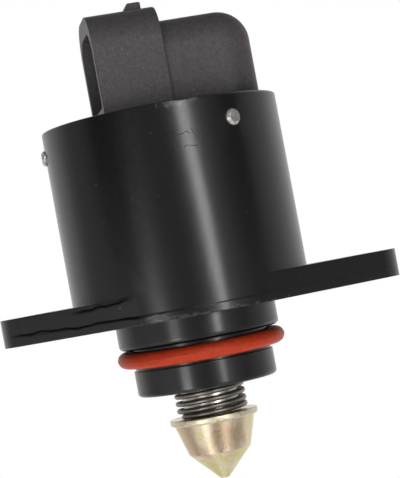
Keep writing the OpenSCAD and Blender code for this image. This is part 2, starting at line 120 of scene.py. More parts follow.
def math_node(tree, operation, first, second=None, clamp=False):
    """Adds a Math node whose inputs are sockets or plain numbers, and returns its output."""
    node = tree.nodes.new("ShaderNodeMath")
    node.operation = operation
    node.use_clamp = clamp
    for socket, value in zip(node.inputs, (first, second)):
        if isinstance(value, (int, float)):
            socket.default_value = value
        elif value is not None:
            tree.links.new(value, socket)
    return node.outputs[0]


def combine(tree, operation, values):
    """Joins several values, two at a time, with one operation such as MAXIMUM."""
    return reduce(lambda first, second: math_node(tree, operation, first, second), values)


def map_range(tree, value, from_low, from_high, to_low=0.0, to_high=1.0):
    """Maps a socket from one range to another, and holds it at the ends."""
    node = add_node(tree, "ShaderNodeMapRange", From_Min=from_low, From_Max=from_high,
                    To_Min=to_low, To_Max=to_high)
    tree.links.new(value, node.inputs["Value"])
    return node.outputs["Result"]


def ramp_node(tree, value, stops):
    """Adds a colour ramp with stops (place, colour), and returns its colour."""
    node = tree.nodes.new("ShaderNodeValToRGB")
    while len(node.color_ramp.elements) < len(stops):
        node.color_ramp.elements.new(0.5)
    for element, (place, color) in zip(node.color_ramp.elements, stops):
        element.position = place
        element.color = (*color, 1.0)
    tree.links.new(value, node.inputs["Fac"])
    return node.outputs["Color"]


def mix_colors(tree, factor, first, second):
    """Mixes two colours by a factor socket; each colour is a socket or an (r, g, b)."""
    mix = tree.nodes.new("ShaderNodeMix")
    mix.data_type = "RGBA"
    tree.links.new(factor, mix.inputs["Factor"])
    for socket, value in ((mix.inputs["A"], first), (mix.inputs["B"], second)):
        if isinstance(value, tuple):
            socket.default_value = (*value, 1.0)
        else:
            tree.links.new(value, socket)
    return mix.outputs["Result"]


def vector_node(tree, operation, first, second=None):
    """Adds a Vector Math node; first is a socket, second a socket or plain numbers, if any."""
    node = tree.nodes.new("ShaderNodeVectorMath")
    node.operation = operation
    tree.links.new(first, node.inputs[0])
    if isinstance(second, tuple):
        node.inputs[1].default_value = second
    elif second is not None:
        tree.links.new(second, node.inputs[1])
    return node


def object_place(tree):
    return tree.nodes.new("ShaderNodeTexCoord").outputs["Object"]


def split_vector(tree, vector):
    split = tree.nodes.new("ShaderNodeSeparateXYZ")
    tree.links.new(vector, split.inputs["Vector"])
    return split.outputs


def object_noise(tree, scale, detail=2.0, roughness=0.5, stretch=(1.0, 1.0, 1.0)):
    """Noise in the piece's own coordinates, with scale cycles a metre, drawn out by stretch."""
    squeezed = vector_node(tree, "DIVIDE", object_place(tree), stretch)
    noise = add_node(tree, "ShaderNodeTexNoise", Scale=scale, Detail=detail, Roughness=roughness)
    tree.links.new(squeezed.outputs["Vector"], noise.inputs["Vector"])
    return noise.outputs["Fac"]

# %% [markdown]
# Moulded and coated surfaces carry fine grain and a few pale specks of dust or bare filler. They
# could be painted on an image, but noise has no seams and needs no unwrapping. One noise gives the
# grain. Of a second, only the rare peaks are left, as specks.

# %% The speckle group
SPECK_STEEPNESS = 12.0


def speckle_group():
    group, enter, leave = new_group(
        "fine_speckle", {"Grain size": 3000.0, "Speck size": 900.0, "Speck share": 0.3},
        {"Grain": "NodeSocketFloat", "Specks": "NodeSocketFloat"})
    place = object_place(group)
    grain = add_node(group, "ShaderNodeTexNoise", Detail=3.0, Roughness=0.6)
    specks = add_node(group, "ShaderNodeTexNoise", Detail=1.0, Roughness=0.5)
    for noise, size in ((grain, "Grain size"), (specks, "Speck size")):
        group.links.new(place, noise.inputs["Vector"])
        group.links.new(enter.outputs[size], noise.inputs["Scale"])
    floor = math_node(group, "SUBTRACT", 1.0, enter.outputs["Speck share"])
    above = math_node(group, "SUBTRACT", specks.outputs["Fac"], floor)
    peak = math_node(group, "MULTIPLY", above, SPECK_STEEPNESS, clamp=True)
    group.links.new(grain.outputs["Fac"], leave.inputs["Grain"])
    group.links.new(peak, leave.inputs["Specks"])
    return group


SPECKLE = speckle_group()
print("group:", SPECKLE.name)

# %% [markdown]
# Real edges are never sharp: each lip and corner is rounded a little and catches a thin line of
# light. A Bevel modifier could round the mesh, but the solids' meshes are left as they are. So the
# Bevel node turns only the normals, and a bump is laid on top of them. Where the turned normal
# departs from the true one there is an edge, which the group puts out as a mask.

# %% The soft edge group
EDGE_SAMPLES = 6
FLAT_AGREEMENT = 0.95
EDGE_AGREEMENT = 0.75


def soft_edge_group():
    group, enter, leave = new_group(
        "soft_edges", {"Radius": 0.0002, "Height": 0.5, "Bump strength": 0.0, "Bump depth": 0.0001},
        {"Normal": "NodeSocketVector", "Edge": "NodeSocketFloat"})
    round_over = group.nodes.new("ShaderNodeBevel")
    round_over.samples = EDGE_SAMPLES
    group.links.new(enter.outputs["Radius"], round_over.inputs["Radius"])
    bump = group.nodes.new("ShaderNodeBump")
    group.links.new(enter.outputs["Bump strength"], bump.inputs["Strength"])
    group.links.new(enter.outputs["Bump depth"], bump.inputs["Distance"])
    group.links.new(enter.outputs["Height"], bump.inputs["Height"])
    group.links.new(round_over.outputs["Normal"], bump.inputs["Normal"])
    group.links.new(bump.outputs["Normal"], leave.inputs["Normal"])
    true_normal = group.nodes.new("ShaderNodeNewGeometry").outputs["Normal"]
    agreement = vector_node(group, "DOT_PRODUCT", round_over.outputs["Normal"], true_normal)
    edge = map_range(group, agreement.outputs["Value"], FLAT_AGREEMENT, EDGE_AGREEMENT)
    group.links.new(edge, leave.inputs["Edge"])
    return group


SOFT_EDGES = soft_edge_group()
print("group:", SOFT_EDGES.name)

# %% [markdown]
# Every finish starts from the Principled shader, which can be metal, plastic or rubber. A value
# that is the same all over a piece could come from a node too, but exporters read many of them only
# from the shader's own socket, so the first helper sets it there. The second rounds the edges over.

# %% Helpers to start a material
def new_material(name, color, roughness, metallic=0.0, **sockets):
    material = bpy.data.materials.new(name)
    material.use_nodes = True
    shader = material.node_tree.nodes["Principled BSDF"]
    shader.inputs["Base Color"].default_value = (*color, 1.0)
    shader.inputs["Roughness"].default_value = roughness
    shader.inputs["Metallic"].default_value = metallic
    set_inputs(shader, sockets)
    return material, material.node_tree, shader


def soften(tree, shader, radius, height=None, strength=0.0, depth=0.0001):
    """Rounds the edges over by radius, in metres, adds a bump if a height is given, and returns
    the mask of the edges."""
    edges = place_group(tree, SOFT_EDGES, Radius=radius, Bump_strength=strength, Bump_depth=depth)
    if height is not None:
        tree.links.new(height, edges.inputs["Height"])
    tree.links.new(edges.outputs["Normal"], shader.inputs["Normal"])
    return edges.outputs["Edge"]

# %% [markdown]
# The real housing has two kinds of line on it. A scratch runs round the valve between two compass
# angles, climbs or falls, and wanders a little. A seam is an uneven line along an ear, where the
# casting's dies met; the coat gets painted shade along it, for the shadow in its gap. Both could be
# cut into the mesh, but they are only tenths of a millimetre wide. So each is a mask, full where a
# point's height is the line's own, bent by noise. Lengths are in metres here, and angles in radians.

# %% The scratch and seam groups
SCRATCH_WANDER = 0.35 * MM
SCRATCH_BENDS_PER_M = 700.0
SEAM_WANDER = 0.5 * MM
SEAM_BENDS_PER_M = 150.0
SEAM_FADE = 5 / 3 * MM


def wandering_height(group, height, bends_per_m, wander):
    """A height less a noise that drifts by up to wander either way."""
    drift = map_range(group, object_noise(group, bends_per_m), *NOISE_SPAN, -wander, wander)
    return math_node(group, "SUBTRACT", height, drift)


def line_mask(group, off, width):
    """Full where off is 0, fading to nothing at width to either side."""
    share = math_node(group, "DIVIDE", math_node(group, "ABSOLUTE", off), width)
    return math_node(group, "SUBTRACT", 1.0, share, clamp=True)


def scratch_group():
    group, enter, leave = new_group(
        "scratch", {"Height": 0.02, "Climb": 0.0, "From": -1.7, "To": -1.5, "Width": 0.0001},
        {"Mask": "NodeSocketFloat"})
    place = split_vector(group, object_place(group))
    height = wandering_height(group, place["Z"], SCRATCH_BENDS_PER_M, SCRATCH_WANDER)
    angle = math_node(group, "ARCTAN2", place["Y"], place["X"])
    along = math_node(group, "SUBTRACT", angle, enter.outputs["From"])
    climbed = math_node(group, "MULTIPLY", along, enter.outputs["Climb"])
    line = math_node(group, "ADD", enter.outputs["Height"], climbed)
    mask = line_mask(group, math_node(group, "SUBTRACT", height, line), enter.outputs["Width"])
    begun = math_node(group, "GREATER_THAN", angle, enter.outputs["From"])
    ended = math_node(group, "LESS_THAN", angle, enter.outputs["To"])
    inside = math_node(group, "MULTIPLY", begun, ended)
    group.links.new(math_node(group, "MULTIPLY", mask, inside), leave.inputs["Mask"])
    return group


def seam_group():
    group, enter, leave = new_group(
        "seam_shade", {"Height": 0.001, "Width": 0.0003, "From": -0.03, "To": -0.01},
        {"Mask": "NodeSocketFloat"})
    place = split_vector(group, object_place(group))
    height = wandering_height(group, place["Z"], SEAM_BENDS_PER_M, SEAM_WANDER)
    off = math_node(group, "SUBTRACT", height, enter.outputs["Height"])
    mask = line_mask(group, off, enter.outputs["Width"])
    from_start = math_node(group, "SUBTRACT", place["X"], enter.outputs["From"])
    to_end = math_node(group, "SUBTRACT", enter.outputs["To"], place["X"])
    nearer = math_node(group, "MINIMUM", from_start, to_end)
    inside = math_node(group, "DIVIDE", nearer, SEAM_FADE, clamp=True)
    group.links.new(math_node(group, "MULTIPLY", mask, inside), leave.inputs["Mask"])
    return group


SCRATCH = scratch_group()
SEAM = seam_group()
print("groups:", SCRATCH.name, SEAM.name)

# %% [markdown]
# The housing is a die-casting with a smooth gloss black coat, nearly a mirror, that shows the slow
# waviness of the casting under it and a few pale specks. A scratch dulls it, so that it shows dark
# in a highlight. Painted highlights colour it pale in a patch at the rim, where the key streak
# spreads, in streaks on the flange's lip, and a little along every edge, for light that these edges
# catch. Two seams on the left ear get painted shade: black lines for the shadow in their gap. A
# plain black of one roughness would look like new plastic, so each kind of mark is a mask that
# changes the colour, and the scratches and the seams' painted shade also change how the coat
# mirrors.
# Scratches and painted highlight streaks are (height, climb per radian, from and to in degrees,
# width) and seams are (height, start and end along X, width), with all lengths in millimetres.

# %% The housing's black coat
SCRATCHES = [(26.0, -0.6, -96, -85.7, 0.09), (24.3, -6.4, -89.5, -83, 0.07),
             (24.7, -4.5, -97, -91.5, 0.08), (26.7, -43.4, -85, -81.7, 0.2)]
# Painted highlight streaks: pale colour at the rim where the key streak spreads, and along the lip's
# edges, which catch light from below.
PAINTED_HIGHLIGHT_STREAKS = [(RIM_Z / MM - 0.5, 0.0, -99, -79, 0.6), (0.2, 0.0, -124, -50, 0.16),
           (0.6, -0.3, -122, -88, 0.13), (0.9, 0.0, -121, -112, 0.3)]
# Painted shade: the seams are lines coloured near-black for the shadow in their gap.
SEAMS = [(1.45, -28.5, -9.0, 0.3), (3.9, -19.5, -10.5, 0.4)]
COAT_BLACK = (0.0062, 0.006, 0.006)
COAT_SPECK = (0.07, 0.068, 0.066)
COAT_PAINTED_HIGHLIGHT = (0.1, 0.096, 0.096)
COAT_DULL = (0.02, 0.02, 0.021)
SEAM_PAINTED_SHADE = (0.001, 0.001, 0.001)
COAT_ROUGHNESS = (0.175, 0.215)
SCRATCH_ROUGHNESS = 0.2
SCRATCH_METAL = 0.8
PAINTED_HIGHLIGHT_PATCHES = (0.42, 0.6)


def scratch_mask(tree, scratches):
    masks = []
    for height, climb, start, end, width in scratches:
        scratch = place_group(tree, SCRATCH, Height=height * MM, Climb=climb * MM, Width=width * MM,
                              From=math.radians(start), To=math.radians(end))
        masks.append(scratch.outputs["Mask"])
    return combine(tree, "MAXIMUM", masks)


def seam_mask(tree, seams):
    masks = []
    for height, start, end, width in seams:
        seam_shade = place_group(tree, SEAM, Height=height * MM, Width=width * MM,
                           From=start * MM, To=end * MM)
        masks.append(seam_shade.outputs["Mask"])
    return combine(tree, "MAXIMUM", masks)


def black_coat():
    material, tree, shader = new_material("black_coat", COAT_BLACK, 0.2)
    speckle = place_group(tree, SPECKLE, Grain_size=1400.0, Speck_size=1500.0, Speck_share=0.24)
    wave = object_noise(tree, 200.0, detail=2.0, roughness=0.4, stretch=(1.0, 1.0, 3.0))
    edge = soften(tree, shader, 0.25 * MM, wave, strength=0.13, depth=0.3 * MM)
    scratch = scratch_mask(tree, SCRATCHES)
    seam_shade = seam_mask(tree, SEAMS)
    patchy = map_range(tree, object_noise(tree, 900.0, detail=3.0), *PAINTED_HIGHLIGHT_PATCHES)
    # Painted highlight: the coat is coloured pale along every edge and in the streaks, for light that
    # the edges catch.
    highlight_lines = math_node(tree, "MAXIMUM", scratch_mask(tree, PAINTED_HIGHLIGHT_STREAKS), edge)
    painted_highlight = math_node(tree, "MULTIPLY", highlight_lines, patchy)
    color = mix_colors(tree, speckle.outputs["Specks"], COAT_BLACK, COAT_SPECK)
    for mask, tone in ((painted_highlight, COAT_PAINTED_HIGHLIGHT), (scratch, COAT_DULL), (seam_shade, SEAM_PAINTED_SHADE)):
        color = mix_colors(tree, mask, color, tone)
    tree.links.new(color, shader.inputs["Base Color"])
    rough = map_range(tree, speckle.outputs["Grain"], *NOISE_SPAN, *COAT_ROUGHNESS)
    dulled = math_node(tree, "ADD", rough, math_node(tree, "MULTIPLY", scratch, SCRATCH_ROUGHNESS))
    tree.links.new(dulled, shader.inputs["Roughness"])
    # A black metal mirrors next to nothing, so a metallic mark is darker than any other black. On the
    # seams this is painted shade.
    dead = math_node(tree, "MAXIMUM", math_node(tree, "MULTIPLY", scratch, SCRATCH_METAL), seam_shade)
    tree.links.new(dead, shader.inputs["Metallic"])
    return material


BLACK_COAT = black_coat()
print("material:", BLACK_COAT.name)

# %% [markdown]
# The connector cap is glass-filled plastic straight from a spark-eroded mould: matte, brownish dark
# grey, mottled from a cooler to a warmer tone, with a fine even grain and rare specks of filler.
# The grain could be displaced geometry, but it is well under a millimetre across, so noise and a
# faint bump do it. Ambient occlusion paints shade into the crevices, darkening their colour where
# little light reaches.

# %% The connector's plastic
PLASTIC_COOL = ((0.094, 0.088, 0.093), (0.122, 0.117, 0.123))
PLASTIC_WARM = ((0.102, 0.087, 0.09), (0.138, 0.119, 0.124))
PLASTIC_SPECK = (0.2, 0.19, 0.19)
PLASTIC_PAINTED_SHADE = (0.02, 0.018, 0.018)
PLASTIC_GRAIN_SHARE = 0.4
PLASTIC_SHADE_SPAN = (0.38, 0.62)
PLASTIC_WARM_SPAN = (0.4, 0.55)
CREVICE_WIDTH = 0.7 * MM
CREVICE_SPAN = (0.45, 0.8)


def grained_plastic():
    material, tree, shader = new_material("grained_plastic", (0.1, 0.09, 0.094), 0.4,
                                          Specular_IOR_Level=0.12)
    speckle = place_group(tree, SPECKLE, Grain_size=3000.0, Speck_size=2600.0, Speck_share=0.29)
    cloud = object_noise(tree, 1500.0, detail=4.0, roughness=0.6)
    fine = math_node(tree, "MULTIPLY", speckle.outputs["Grain"], PLASTIC_GRAIN_SHARE)
    coarse = math_node(tree, "MULTIPLY", cloud, 1 - PLASTIC_GRAIN_SHARE)
    shade = map_range(tree, math_node(tree, "ADD", fine, coarse), *PLASTIC_SHADE_SPAN)
    cool = mix_colors(tree, shade, *PLASTIC_COOL)
    warm = mix_colors(tree, shade, *PLASTIC_WARM)
    warmth = map_range(tree, object_noise(tree, 1100.0, detail=3.0), *PLASTIC_WARM_SPAN)
    base = mix_colors(tree, warmth, cool, warm)
    specked = mix_colors(tree, speckle.outputs["Specks"], base, PLASTIC_SPECK)
    # Painted shade: the colour darkens where ambient occlusion finds a crevice.
    crevice = add_node(tree, "ShaderNodeAmbientOcclusion", Distance=CREVICE_WIDTH)
    openness = map_range(tree, crevice.outputs["AO"], *CREVICE_SPAN)
    color = mix_colors(tree, openness, PLASTIC_PAINTED_SHADE, specked)
    tree.links.new(color, shader.inputs["Base Color"])
    soften(tree, shader, 0.3 * MM, speckle.outputs["Grain"], strength=0.35, depth=0.08 * MM)
    return material


GRAINED_PLASTIC = grained_plastic()
print("material:", GRAINED_PLASTIC.name)

# %% [markdown]
# The O-ring is red-orange silicone, a little uneven in tone and dusty. Silicone lets some light in,
# which subsurface scattering could show, but on so thin a cord a strong colour with a soft shine
# looks much the same and is simpler.

# %% The O-ring's silicone
SILICONE_TONES = ((0.56, 0.047, 0.014), (0.69, 0.062, 0.018))
SILICONE_DUST = (0.7, 0.25, 0.16)


def red_silicone():
    material, tree, shader = new_material("red_silicone", (0.55, 0.05, 0.02), 0.4,
                                          Specular_IOR_Level=0.2)
    speckle = place_group(tree, SPECKLE, Grain_size=1300.0, Speck_size=1500.0, Speck_share=0.26)
    tone = map_range(tree, speckle.outputs["Grain"], *NOISE_SPAN)
    base = mix_colors(tree, tone, *SILICONE_TONES)
    color = mix_colors(tree, speckle.outputs["Specks"], base, SILICONE_DUST)
    tree.links.new(color, shader.inputs["Base Color"])
    soften(tree, shader, 0.05 * MM, speckle.outputs["Grain"], strength=0.1, depth=0.05 * MM)
    return material


RED_SILICONE = red_silicone()
print("material:", RED_SILICONE.name)

# %% [markdown]
# The pintle is turned steel with a yellow chromate film over zinc, whose colour drifts from
# orange-brown on the left through straw to yellow-green on the right and at the tip. The colours of
# a thin film could be computed, but a ramp over slow noise is easier to steer. Fine turning marks
# run round the pintle and stretch its highlights, which anisotropy and a drawn-out noise repeat.
# A film stop is (place on the drift, colour).

# %% The pintle's yellow plating
FILM_STOPS = [(0.36, (0.63, 0.47, 0.31)), (0.45, (0.74, 0.58, 0.42)), (0.53, (0.82, 0.72, 0.52)),
              (0.61, (0.76, 0.65, 0.32)), (0.72, (0.68, 0.64, 0.29))]
FILM_DRIFT_PER_M = 14.0
TIP_CONE_START = TIP_Z + 4.6 * MM
TIP_CONE_FULL = TIP_Z + 3.4 * MM
TIP_DRIFT = 0.1
PLATING_ROUGHNESS = (0.2, 0.36)


def yellow_chromate():
    material, tree, shader = new_material("yellow_chromate", (0.75, 0.66, 0.45), 0.3, 1.0,
                                          Anisotropic=0.8, Anisotropic_Rotation=0.25)
    cloud = object_noise(tree, 300.0, detail=4.0, roughness=0.6, stretch=(1.0, 1.0, 2.5))
    place = split_vector(tree, object_place(tree))
    towards_tip = map_range(tree, place["Z"], TIP_CONE_START, TIP_CONE_FULL, 0.0, TIP_DRIFT)
    sideways = math_node(tree, "MULTIPLY", place["X"], FILM_DRIFT_PER_M)
    film = combine(tree, "ADD", [cloud, towards_tip, sideways])
    tree.links.new(ramp_node(tree, film, FILM_STOPS), shader.inputs["Base Color"])
    turning_marks = object_noise(tree, 5000.0, detail=2.0, stretch=(12.0, 12.0, 1.0))
    chatter = object_noise(tree, 4200.0, detail=2.0, roughness=0.6)
    rough = map_range(tree, turning_marks, *NOISE_SPAN, *PLATING_ROUGHNESS)
    tree.links.new(rough, shader.inputs["Roughness"])
    around = tree.nodes.new("ShaderNodeTangent")
    around.direction_type = "RADIAL"
    around.axis = "Z"
    tree.links.new(around.outputs["Tangent"], shader.inputs["Tangent"])
    relief = math_node(tree, "ADD", turning_marks, chatter)
    soften(tree, shader, 0.05 * MM, relief, strength=0.5, depth=0.04 * MM)
    return material


YELLOW_CHROMATE = yellow_chromate()
print("material:", YELLOW_CHROMATE.name)

# %% [markdown]
# The other finishes are plainer: oiled spring wire, bright turned pins, the pintle's bare sleeve
# and worn rim, and the inner pieces. Each material could be written out in full, but they differ
# only in colour, roughness and metal. So one function makes them all, and the grain of the speckle
# group varies each a little round its own colour and roughness.

# %% Plain finishes with a little grain
ROUGHNESS_VARY = 0.15


def plain_finish(name, color, roughness, metallic=0.0, vary=0.12):
    material, tree, shader = new_material(name, color, roughness, metallic)
    speckle = place_group(tree, SPECKLE, Grain_size=2500.0, Speck_size=1200.0, Speck_share=0.25)
    grain = speckle.outputs["Grain"]
    dark = tuple(c * (1 - vary) for c in color)
    pale = tuple(min(c * (1 + vary), 1.0) for c in color)
    color = mix_colors(tree, map_range(tree, grain, *NOISE_SPAN), dark, pale)
    tree.links.new(color, shader.inputs["Base Color"])
    rough = map_range(tree, grain, *NOISE_SPAN, roughness * (1 - ROUGHNESS_VARY),
                      roughness * (1 + ROUGHNESS_VARY))
    tree.links.new(rough, shader.inputs["Roughness"])
    soften(tree, shader, 0.1 * MM)
    print("material:", name)
    return material


SPRING_WIRE = plain_finish("oiled_wire", (0.24, 0.215, 0.195), 0.36, 1.0)
SLEEVE_ZINC = plain_finish("bare_zinc", (0.68, 0.65, 0.56), 0.3, 1.0)
RIM_CHROMATE = plain_finish("worn_chromate", (0.76, 0.67, 0.5), 0.42, 1.0, vary=0.2)
PIN_STEEL = plain_finish("turned_pin_steel", (0.66, 0.63, 0.61), 0.3, 1.0, vary=0.25)
SCREW_STEEL = plain_finish("rolled_screw_steel", (0.6, 0.56, 0.46), 0.3, 1.0)
BEARING_STEEL = plain_finish("ground_bearing_steel", (0.6, 0.6, 0.62), 0.18, 1.0)
CAGE_PLASTIC = plain_finish("cage_plastic", (0.35, 0.2, 0.08), 0.45)
HUB_PLASTIC = plain_finish("natural_acetal", (0.72, 0.7, 0.62), 0.45)
MAGNET = plain_finish("bonded_ferrite", (0.05, 0.05, 0.055), 0.5, 0.3)
BRONZE = plain_finish("sintered_bronze", (0.5, 0.33, 0.14), 0.45, 0.9)
STATOR_STEEL = plain_finish("zinc_plated_sheet", (0.5, 0.51, 0.53), 0.3, 1.0)
BOBBIN = plain_finish("natural_nylon", (0.72, 0.68, 0.56), 0.5)
COPPER = plain_finish("enamelled_copper", (0.6, 0.2, 0.06), 0.3, 0.9)
TERMINAL_TIN = plain_finish("tinned_terminal", (0.72, 0.7, 0.64), 0.25, 1.0)
BLACK_RUBBER = plain_finish("black_rubber", (0.02, 0.02, 0.02), 0.6)

# %% [markdown]
# Each solid now gets its finish, the inner ones too, because each is a piece that may be shown on
# its own. That could be done one piece at a time in the editor. A table shows at a glance what is
# made of what, and a misspelt name stops the script.

# %% Give each piece its finish
FINISHES = [
    (BLACK_COAT, ["housing"]),
    (GRAINED_PLASTIC, ["connector_cap"]),
    (BLACK_RUBBER, ["cap_seal"]),
    (PIN_STEEL, ["retaining_pin_1", "retaining_pin_2", "retaining_pin_3"]),
    (RED_SILICONE, ["o_ring"]),
    (YELLOW_CHROMATE, ["pintle"]),
    (SPRING_WIRE, ["pintle_spring"]),
    (SCREW_STEEL, ["lead_screw"]),
    (BEARING_STEEL, ["bearing_outer_race", "bearing_inner_race", "bearing_balls"]),
    (CAGE_PLASTIC, ["bearing_cage"]),
    (HUB_PLASTIC, ["rotor_hub"]),
    (MAGNET, ["rotor_magnet"]),
    (BRONZE, ["rear_bush"]),
    (STATOR_STEEL, ["stator_cup_lower", "stator_cup_upper", "pole_plate_lower", "pole_plate_upper"]),
    (BOBBIN, ["bobbin_lower", "bobbin_upper"]),
    (COPPER, ["coil_lower", "coil_upper"]),
    (TERMINAL_TIN, ["terminal_1", "terminal_2", "terminal_3", "terminal_4"]),
]


def finish_piece(piece, material):
    piece.data.materials.clear()
    piece.data.materials.append(material)


for material, node_names in FINISHES:
    for node_name in node_names:
        finish_piece(nodes[node_name], material)
print("finished pieces:", sum(len(node_names) for material, node_names in FINISHES))

# %% [markdown]
# The pintle is turned on a lathe, and the O-ring is as round. The Screw modifier could spin an
# outline, but in code every corner can be rounded first. A profile's corners are (radius, height,
# rounding) in millimetres. Each becomes an arc of its rounding, and the profile is then turned
# round the axis and stitched into faces.

# %% Helpers to turn a profile
def rounded_profile(corners, arc_steps=5):
    """Replaces each corner (r, z, rounding) by an arc that touches both of its neighbours' lines."""
    points = []
    for i, (r, z, rounding) in enumerate(corners):
        here = Vector((r, z))
        if rounding == 0 or i in (0, len(corners) - 1):
            points.append(here)
            continue
        back = (Vector(corners[i - 1][:2]) - here).normalized()
        ahead = (Vector(corners[i + 1][:2]) - here).normalized()
        half = math.acos(max(-1.0, min(1.0, back.dot(ahead)))) / 2
        centre = here + (back + ahead).normalized() * (rounding / math.sin(half))
        start = here + back * (rounding / math.tan(half)) - centre
        end = here + ahead * (rounding / math.tan(half)) - centre
        sweep = start.angle_signed(end)
        for k in range(arc_steps + 1):
            points.append(centre + Matrix.Rotation(-sweep * k / arc_steps, 2) @ start)
    return points


def built_piece(name, build):
    """Makes a mesh object from a bmesh and stands it in the scene."""
    mesh = bpy.data.meshes.new(name)
    build.to_mesh(mesh)
    build.free()
    piece = bpy.data.objects.new(name, mesh)
    bpy.context.scene.collection.objects.link(piece)
    return piece


def turned_piece(name, profile, closed=False, segments=160):
    """Turns a profile of (r, z) points in millimetres round the axis; ends on the axis are closed."""
    build = bmesh.new()
    columns = []
    for j in range(segments):
        angle = 2 * math.pi * j / segments
        columns.append([build.verts.new((r * math.cos(angle) * MM, r * math.sin(angle) * MM, z * MM))
                        for r, z in profile])
    last = len(profile) if closed else len(profile) - 1
    for left, right in zip(columns, columns[1:] + columns[:1]):
        for i in range(last):
            k = (i + 1) % len(profile)
            build.faces.new((left[i], right[i], right[k], left[k]))
    bmesh.ops.remove_doubles(build, verts=build.verts, dist=1e-7)
    bmesh.ops.recalc_face_normals(build, faces=build.faces)
    piece = built_piece(name, build)
    piece.data.shade_smooth()
    return piece

# %% [markdown]
# The pintle is the plunger that closes the air passage: a sleeve inside the spring, a rim for the
# spring to push on, and two cones that meet in a small land. A modifier could bevel its solid's
# sharp edges, but a lathe breaks each edge by an amount of its own, the rim's lower one most. So
# the piece is turned again from a rounded profile. The sleeve is bare zinc and the rim's plating is
# worn dull, so their faces get finishes of their own.

# %% The pintle
RIM_R = pintle_high.x / MM
RIM_TOP = spring_low.z / MM - 0.03
RIM_T = 0.95
RIM_ROUND = 0.36
SLEEVE_R = 4.35
SLEEVE_ROUND = 0.2
CONE_TOP_R = 6.17
CONE_MID_R = 4.74
CONE_LEN = 4.7
LAND_ROUND = 0.25
TIP_R = 0.67
SCREW_R = 2.6
SOCKET_DEPTH = 3.5
LATHE_EDGE = 0.12
INNER_EDGE = 0.1
PINTLE_FINISHES = [YELLOW_CHROMATE, SLEEVE_ZINC, RIM_CHROMATE]
SLEEVE_FINISH = 1
RIM_FINISH = 2
SLEEVE_REACH = SLEEVE_R + 0.05
SLEEVE_FOOT = RIM_TOP + 0.02
RIM_START = RIM_R - 0.3


def pintle():
    tip = TIP_Z / MM
    sleeve_top = pintle_high.z / MM
    cone_top = RIM_TOP - RIM_T
    cone_mid = cone_top - CONE_LEN
    socket = cone_top - SOCKET_DEPTH
    profile = rounded_profile([
        (0, tip, 0), (TIP_R, tip, LATHE_EDGE), (CONE_MID_R, cone_mid, LAND_ROUND),
        (CONE_TOP_R, cone_top, INNER_EDGE), (RIM_R, cone_top, RIM_ROUND), (RIM_R, RIM_TOP, LATHE_EDGE),
        (SLEEVE_R, RIM_TOP, LATHE_EDGE), (SLEEVE_R, sleeve_top, SLEEVE_ROUND),
        (SCREW_R, sleeve_top, INNER_EDGE), (SCREW_R, socket, INNER_EDGE), (0, socket, 0)
    ])
    piece = turned_piece("pintle_turned", [(p.x, p.y) for p in profile])
    piece.data.materials.clear()
    for material in PINTLE_FINISHES:
        piece.data.materials.append(material)
    for face in piece.data.polygons:
        radius = Vector(face.center[:2]).length / MM
        if radius < SLEEVE_REACH and face.center.z / MM > SLEEVE_FOOT:
            face.material_index = SLEEVE_FINISH
        elif radius > RIM_START:
            face.material_index = RIM_FINISH
    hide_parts("pintle")
    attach(piece, "pintle")
    print("pintle faces:", len(piece.data.polygons))


pintle()

# %% [markdown]
# The O-ring seals the nose in its bore. It lies a little askew in its groove, and its mould leaves
# a thin flash line round its outer edge. A torus could stand for it, but has no such line. So the
# cord's section is drawn point by point, pushed out where the flash is, and turned round the axis.

# %% The O-ring
CORD_R = 1.2
CORD_SIDES = 48
RING_TILT = math.radians(1.2)
FLASH = 0.05
FLASH_SPAN = math.radians(4)


def o_ring():
    ring_r = ring_high.x / MM - CORD_R
    middle = (ring_low.z + ring_high.z) / 2
    profile = []
    for i in range(CORD_SIDES):
        angle = 2 * math.pi * i / CORD_SIDES
        off = min(angle, 2 * math.pi - angle)
        reach = CORD_R + (FLASH if off < FLASH_SPAN else 0)
        profile.append((ring_r + reach * math.cos(angle), reach * math.sin(angle)))
    piece = turned_piece("o_ring_moulded", profile, closed=True)
    piece.data.transform(Matrix.Translation((0, 0, middle)) @ Matrix.Rotation(RING_TILT, 4, "X"))
    finish_piece(piece, RED_SILICONE)
    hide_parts("o_ring")
    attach(piece, "housing")
    print("O-ring faces:", len(piece.data.polygons))


o_ring()

# %% [markdown]
# The spring presses the pintle away from the nose, which takes up the screw's play. Its solid is
# faceted to keep it small. A bevelled curve could draw a rounder wire, but a mesh of rings is as
# simple and is closed at both ends. It keeps the solid's path: one close turn at each end and an
# open pitch between.

# %% The spring's wire
WIRE_D = 0.8 * MM
SPRING_PITCH = 1.13 * MM
SPRING_START = math.radians(200)
SPRING_RINGS_PER_TURN = 64
SPRING_SIDES = 20


def spring_path():
    """Yields the angle and the height of the wire's middle, from the rim up into the nose."""
    low = spring_low.z + WIRE_D / 2
    high = spring_high.z - WIRE_D / 2
    turns = (high - low - 2 * WIRE_D) / SPRING_PITCH + 2
    steps = round(turns * SPRING_RINGS_PER_TURN)
    for i in range(steps + 1):
        t = turns * i / steps
        if t < 1:
            z = low + WIRE_D * t
        elif t > turns - 1:
            z = high - WIRE_D * (turns - t)
        else:
            z = low + WIRE_D + SPRING_PITCH * (t - 1)
        yield SPRING_START + 2 * math.pi * t, z


def tube_piece(name, rings):
    """Skins a list of rings of points, all of one length, and closes both ends."""
    build = bmesh.new()
    rows = [[build.verts.new(point) for point in ring] for ring in rings]
    sides = len(rows[0])
    for low, high in zip(rows, rows[1:]):
        for j in range(sides):
            k = (j + 1) % sides
            build.faces.new((low[j], low[k], high[k], high[j]))
    build.faces.new(rows[0])
    build.faces.new(rows[-1])
    bmesh.ops.recalc_face_normals(build, faces=build.faces)
    piece = built_piece(name, build)
    for face in piece.data.polygons:
        face.use_smooth = len(face.vertices) == 4
    return piece


